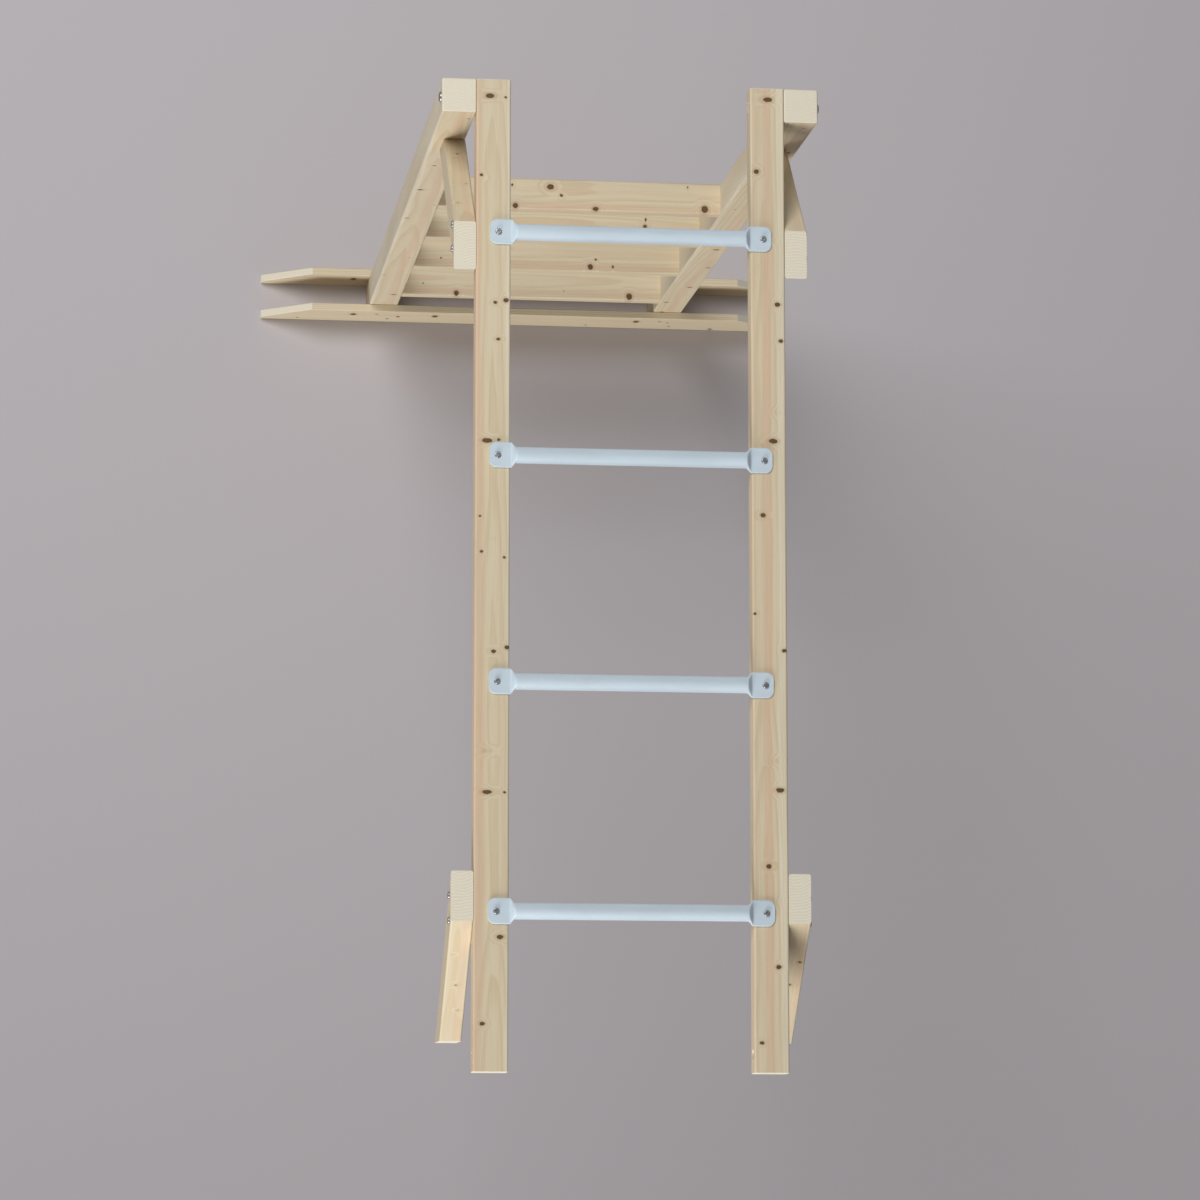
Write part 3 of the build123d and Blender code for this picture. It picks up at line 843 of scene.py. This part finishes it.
def screw_tree(name, material, sizes, countersunk):
    """Screws on the base's points, each along its point's outward direction, with the wood's surface at 0."""
    tree, graph, size = new_shape(name, sizes)
    head, shank, tall = size["Head radius"], size["Shank radius"], size["Head height"]
    low = graph.times(size["Length"], -1.0)
    outline = [(POINT, low), (shank, graph.plus(low, TIP))]
    if countersunk:
        top = -SINK
        cone = graph.minus(top, graph.minus(head, shank))
        outline += [(shank, cone), (head, top - 1.5 * BEVEL), (head, top - 0.5 * BEVEL),
                    (graph.minus(head, BEVEL), top)]
    else:
        top = tall
        outline += [(shank, -SEAT), (graph.minus(head, BEVEL), 0.0), (head, BEVEL)]
        ease = graph.times(tall, PAN_ROUND)
        for index in range(PAN_STEPS + 1):
            angle = math.pi / 2 * index / PAN_STEPS
            radius = graph.minus(head, graph.times(ease, 1 - math.cos(angle)))
            height = graph.plus(graph.minus(tall, ease), graph.times(ease, math.sin(angle)))
            outline.append((radius, height))
    body = turned(graph, outline, size["Facets"])
    cut = graph.node("GeometryNodeMeshBoolean", operation="DIFFERENCE", solver="EXACT")
    graph.feed(cut.inputs["Mesh 1"], body)
    graph.feed(cut.inputs["Mesh 2"], lobed_recess(graph, size["Recess radius"], top, size["Recess depth"]))
    spin = graph.node(
        "FunctionNodeRandomValue", data_type="FLOAT", named={"Max": math.pi, "Seed": size["Seed"]})
    spin = graph.add("ShaderNodeCombineXYZ", (0.0, 0.0, spin.outputs[1]))
    spin = graph.add("FunctionNodeEulerToRotation", (spin,))
    outward = graph.node("GeometryNodeInputNamedAttribute", ("outward",), data_type="FLOAT_VECTOR").outputs[0]
    stand = graph.add(
        "FunctionNodeAlignRotationToVector", named={"Rotation": spin, "Vector": outward}, axis="Z")
    placed = graph.add("GeometryNodeInstanceOnPoints", (size["Geometry"],), {
        "Instance": cut.outputs["Mesh"], "Rotation": stand})
    real = graph.add("GeometryNodeRealizeInstances", (placed,))
    end_shape(graph, real, material)
    return tree


def drive_screws(name, node, screw, places, material):
    """One piece of like screws. A place is a point of a surface and the way that its head faces."""
    fasteners = bpy.context.scene.mb_fasteners
    base = bpy.data.meshes.new(name + "_base")
    base.from_pydata([point for point, _ in places], [], [])
    outward = base.attributes.new("outward", "FLOAT_VECTOR", "POINT")
    for item, (_, direction) in zip(outward.data, places):
        item.vector = direction
    sizes = {
        "Head radius": screw.head_radius,
        "Head height": screw.head_height,
        "Shank radius": screw.shank_radius,
        "Length": screw.length,
        "Recess radius": screw.head_radius * RECESS_SHARE,
        "Recess depth": RECESS_DEPTH,
        "Facets": fasteners.facets,
        "Seed": fasteners.seed,
    }
    tree = screw_tree(name, material, sizes, screw.countersunk)
    piece = run_shape(name, base, tree, sizes)
    deliver(piece, node)


class MONKEYBARS_OT_screws(Operator):
    """Drives the wood screws: pads, braces, treads and foot planks"""

    bl_idname = "monkeybars.screws"
    bl_label = "Drive screws"

    def execute(self, context):
        zinc = zinc_plate("bright_zinc")
        sides = (-1, 1)
        middles = {name: sum(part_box(name), Vector()) / 2 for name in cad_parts}
        rungs, treads = numbered("rung"), numbered("tread")

        _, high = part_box("rung_screws")
        x, z = high.x - PAD_SCREW.head_radius, high.z - PAD_SCREW.head_height
        places = [((s * x, middles[rung].y, z), UP) for s in sides for rung in rungs]
        drive_screws("pad_screws", "rung_screws", PAD_SCREW, places, zinc)

        low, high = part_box("brace_rail_screws")
        x, spread = high.x - BRACE_SCREW.head_height, BRACE_SCREW_SPACING
        far, near = high.y - BRACE_SCREW.head_radius, low.y + BRACE_SCREW.head_radius
        ys = (far, far - spread, near + spread, near)
        z = middles["brace_rail_screws"].z
        places = [((s * x, y, z), s * RIGHT) for s in sides for y in ys]
        drive_screws("brace_side_screws", "brace_rail_screws", BRACE_SCREW, places, zinc)

        low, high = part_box("brace_post_screws")
        x, y, z = high.x - BRACE_SCREW.head_radius, low.y + BRACE_SCREW.head_height, (low.z + high.z) / 2
        places = [((s * x, y, z), -ALONG) for s in sides]
        drive_screws("brace_toe_screws", "brace_post_screws", BRACE_SCREW, places, zinc)

        low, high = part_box("tread_screws")
        x, reach = high.x + SINK, (high.y - low.y) / 2 - TREAD_SCREW.head_radius
        places = [((s * x, middles[tread].y + t * reach, middles[tread].z), s * RIGHT)
                  for s in sides for tread in treads for t in sides]
        drive_screws("tread_end_screws", "tread_screws", TREAD_SCREW, places, zinc)

        low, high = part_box("plank_screws")
        post_x = middles["post_right"].x
        out_x = high.x - PLANK_SCREW.head_radius - post_x
        low_z, high_z = low.z + PLANK_SCREW.head_radius, high.z - PLANK_SCREW.head_radius
        places = []
        for face_y, out in ((low.y - SINK, -1), (high.y + SINK, 1)):
            for s in sides:
                places += [((s * post_x - out * out_x, face_y, low_z), out * ALONG),
                           ((s * post_x + out * out_x, face_y, high_z), out * ALONG)]
        drive_screws("foot_plank_screws", "plank_screws", PLANK_SCREW, places, zinc)
        return {"FINISHED"}


class MONKEYBARS_OT_bolts(Operator):
    """Finishes the carriage bolts with their washers and nuts"""

    bl_idname = "monkeybars.bolts"
    bl_label = "Finish bolts"

    def execute(self, context):
        zinc = zinc_plate("bolt_zinc")
        for node in ("post_bolts", "post_washers", "post_nuts"):
            finish_node(node, zinc)
        return {"FINISHED"}


def hang_light(name, middle, place, width, power):
    """A large round light that faces the middle of the monkey bars."""
    light = bpy.data.lights.new(name, "AREA")
    light.shape = "DISK"
    light.size = width
    light.energy = power
    lamp = bpy.data.objects.new(name, light)
    lamp.location = middle + Vector(place)
    lamp.rotation_euler = (-Vector(place)).to_track_quat("-Z", "Y").to_euler()
    bpy.context.collection.objects.link(lamp)
    return lamp


class MONKEYBARS_OT_stage(Operator):
    """Sets up the floor, the soft light and the camera"""

    bl_idname = "monkeybars.stage"
    bl_label = "Set up the stage"

    def execute(self, context):
        stage = context.scene.mb_stage
        low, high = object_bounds()
        middle = (low + high) / 2

        material, _, shader = new_material("pale_floor")
        shader.inputs["Base Color"].default_value = (*stage.floor, 1)
        shader.inputs["Roughness"].default_value = 0.9
        mesh = bpy.data.meshes.new("floor")
        corners = [(x * FLOOR_REACH, y * FLOOR_REACH, low.z) for x, y in ((-1, -1), (1, -1), (1, 1), (-1, 1))]
        mesh.from_pydata(corners, [], [(0, 1, 2, 3)])
        mesh.materials.append(material)
        floor = bpy.data.objects.new("floor", mesh)
        context.collection.objects.link(floor)
        floor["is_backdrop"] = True

        world = bpy.data.worlds.new("studio")
        world.use_nodes = True
        sky = world.node_tree.nodes["Background"]
        sky.inputs["Color"].default_value = (1, 1, 1, 1)
        sky.inputs["Strength"].default_value = stage.daylight
        context.scene.world = world

        hang_light("softbox", middle, stage.softbox_place, stage.softbox_size, stage.softbox)
        fill = hang_light("fill", middle, stage.fill_place, stage.softbox_size, stage.fill)
        lit = bpy.data.collections.new("lit_by_fill")
        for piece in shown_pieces():
            lit.objects.link(piece)
        fill.light_linking.receiver_collection = lit

        camera = bpy.data.objects.new("camera", bpy.data.cameras.new("camera"))
        camera.data.lens = stage.lens
        camera.location = stage.viewpoint
        aim = Vector((middle.x, middle.y, AIM_HEIGHT * high.z)) - camera.location
        depth = aim.normalized()
        side = depth.cross(ALONG).normalized()
        camera.rotation_euler = Matrix((side, side.cross(depth), -depth)).transposed().to_euler()
        context.collection.objects.link(camera)
        context.scene.camera = camera
        context.scene.view_settings.view_transform = "Standard"
        return {"FINISHED"}


class MONKEYBARS_PT_panel(Panel):
    """Lists the steps that finish the monkey bars"""

    bl_label = "Monkey bars"
    bl_idname = "MONKEYBARS_PT_panel"
    bl_space_type = "VIEW_3D"
    bl_region_type = "UI"
    bl_category = "Monkey bars"

    def draw(self, context):
        for step in STEPS:
            self.layout.operator(step.bl_idname)


SETTINGS = {
    "mb_timber": TimberSettings,
    "mb_rungs": RungSettings,
    "mb_fasteners": FastenerSettings,
    "mb_stage": StageSettings,
}
STEPS = (
    MONKEYBARS_OT_rails,
    MONKEYBARS_OT_posts,
    MONKEYBARS_OT_treads,
    MONKEYBARS_OT_foot_planks,
    MONKEYBARS_OT_braces,
    MONKEYBARS_OT_rungs,
    MONKEYBARS_OT_screws,
    MONKEYBARS_OT_bolts,
    MONKEYBARS_OT_stage,
)


def register():
    for each in (*SETTINGS.values(), *STEPS, MONKEYBARS_PT_panel):
        bpy.utils.register_class(each)
    for name, group in SETTINGS.items():
        setattr(bpy.types.Scene, name, PointerProperty(type=group))


def unregister():
    for name in SETTINGS:
        delattr(bpy.types.Scene, name)
    for each in reversed((*SETTINGS.values(), *STEPS, MONKEYBARS_PT_panel)):
        bpy.utils.unregister_class(each)


def main():
    register()
    for step in STEPS:
        family, name = step.bl_idname.split(".")
        getattr(getattr(bpy.ops, family), name)()


if __name__ == "__main__":
    main()
